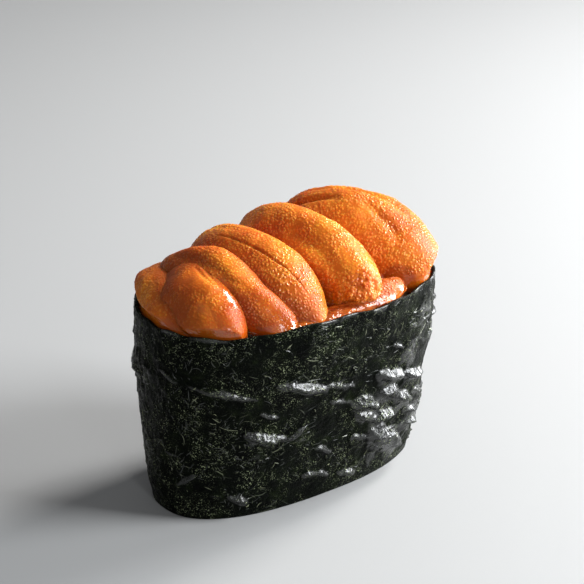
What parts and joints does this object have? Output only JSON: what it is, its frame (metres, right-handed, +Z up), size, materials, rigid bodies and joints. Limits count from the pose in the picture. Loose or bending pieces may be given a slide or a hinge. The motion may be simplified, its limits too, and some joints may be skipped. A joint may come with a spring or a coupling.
{
  "type": "sea urchin sushi",
  "caption": "Oval boat-shaped sushi: a pressed rice block wrapped in a tall dark seaweed band, topped with soft overlapping orange lobes of sea urchin",
  "frame": {"origin": "on the table, under the middle of the whole piece", "axes": "+X along the oval band, +Y away from the side shown, +Z up"},
  "size_m": [0.0512, 0.0342, 0.0432],
  "materials": {
    "seaweed": "dark dried seaweed, slightly shiny",
    "rice": "moist cooked rice",
    "sea_urchin": "moist, soft and finely granular"
  },
  "bodies": {
    "root": {"seaweed_band": "seaweed", "rice_block": "rice", "lobe_left_end": "sea_urchin", "lobe_front_left": "sea_urchin", "lobe_crossing": "sea_urchin", "lobe_middle": "sea_urchin", "lobe_right": "sea_urchin", "lobe_right_end": "sea_urchin", "lobe_fragment": "sea_urchin"}
  },
  "joints": []
}
